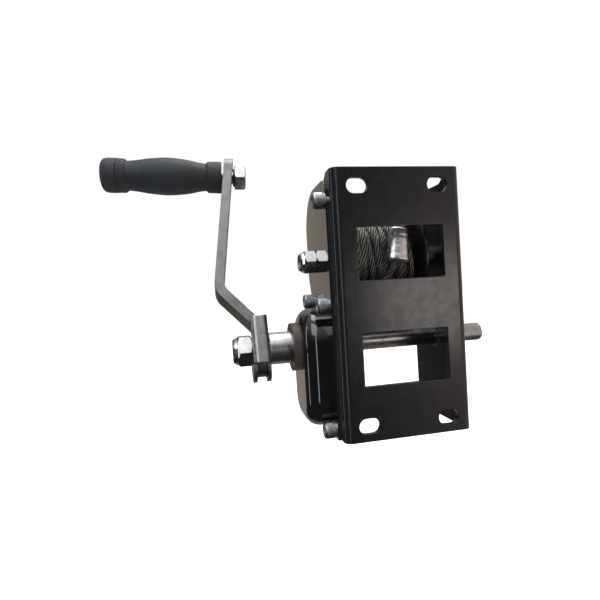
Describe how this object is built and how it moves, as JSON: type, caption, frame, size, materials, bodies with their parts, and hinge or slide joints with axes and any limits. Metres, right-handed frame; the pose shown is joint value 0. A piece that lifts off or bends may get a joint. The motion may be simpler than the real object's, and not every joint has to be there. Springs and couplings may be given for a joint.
{
  "type": "boat trailer winch",
  "caption": "Hand winch with a geared rope drum in a black U-shaped frame, a brake under a domed cover, a zinc crank with a turning grip, and wire rope ending in an eye.",
  "frame": {"origin": "centre of the four slots of the base plate, on its mounting face", "axes": "+X along the drum axle from the crank side to the bare stub, +Z along the long side of the base plate toward the drum, +Y from the mounting face toward the drum"},
  "size_m": [0.3311, 0.1237, 0.2494],
  "materials": {
    "black_paint": "semi-gloss black powder coat",
    "black_gloss": "gloss black paint",
    "black_steel": "black oxide",
    "zinc": "bright zinc plate",
    "spring_steel": "dark spring steel",
    "bronze": "sintered bronze",
    "bush_nylon": "dark brown nylon",
    "wire_rope": "galvanised stranded wire",
    "aluminium": "pressed aluminium",
    "lining": "friction lining",
    "black_nylon": "black nylon",
    "grip_plastic": "matte moulded plastic"
  },
  "bodies": {
    "root": {"frame": "black_paint", "gear_cover": "black_gloss", "cover_screws": "zinc", "cover_screw_washers": "zinc", "drum_axle": "zinc", "drum_axle_nut": "zinc", "drum_thrust_washer": "zinc", "drum_spacer": "zinc", "left_shaft_bush": "bush_nylon", "right_shaft_bush": "bush_nylon", "cover_bush": "bush_nylon", "pawl_pin": "zinc", "pawl_clip": "spring_steel"},
    "drum": {"drum_core": "black_paint", "drum_bush_left": "bronze", "drum_bush_right": "bronze", "drum_flange_left": "black_paint", "drum_flange_right": "black_paint", "drum_gear": "zinc", "gear_rivets": "zinc", "rope_set_screw": "black_steel", "cable_coil": "wire_rope", "cable_tail": "wire_rope", "cable_ferrule": "aluminium"},
    "drive": {"drive_shaft": "zinc", "pinion": "zinc", "brake_disc": "zinc", "shaft_clip": "spring_steel", "crank_nut": "zinc"},
    "ratchet": {"ratchet_wheel": "zinc", "friction_disc_outer": "lining", "friction_disc_inner": "lining"},
    "pawl": {"pawl": "zinc", "pawl_spring": "spring_steel"},
    "crank": {"crank_hub": "zinc", "crank_bracket": "zinc", "crank_arm": "zinc", "grip_bolt": "zinc", "grip_nut": "zinc", "grip_washer": "black_nylon"},
    "grip": {"grip": "grip_plastic", "grip_cap": "grip_plastic"}
  },
  "joints": [
    {"name": "drum_spin", "type": "hinge", "parent": "root", "child": "drum", "pos_m": [0, 0.0575, 0.039], "axis": [1, 0, 0], "continuous": true},
    {"name": "drive_spin", "type": "hinge", "parent": "root", "child": "drive", "pos_m": [0, 0.048, -0.03237], "axis": [1, 0, 0], "continuous": true},
    {"name": "ratchet_spin", "type": "hinge", "parent": "root", "child": "ratchet", "pos_m": [-0.0638, 0.048, -0.03237], "axis": [1, 0, 0], "continuous": true},
    {"name": "pawl_swing", "type": "hinge", "parent": "root", "child": "pawl", "pos_m": [-0.0638, 0.036, -0.074], "axis": [-1, 0, 0], "range_deg": [0, 18], "stiffness_Nm_per_rad": 0.02, "springref_deg": -20.05},
    {"name": "brake_slack", "type": "hinge", "parent": "drive", "child": "crank", "pos_m": [-0.11, 0.048, -0.03237], "axis": [1, 0, 0], "range_deg": [0, 40]},
    {"name": "grip_spin", "type": "hinge", "parent": "crank", "child": "grip", "pos_m": [-0.1242, 0.10566, 0.12606], "axis": [-0.9994, 0.0119, 0.0328], "continuous": true}
  ],
  "couplings": [
    {"joint": "drive_spin", "follows": "drum_spin", "ratio": -2.2727}
  ]
}
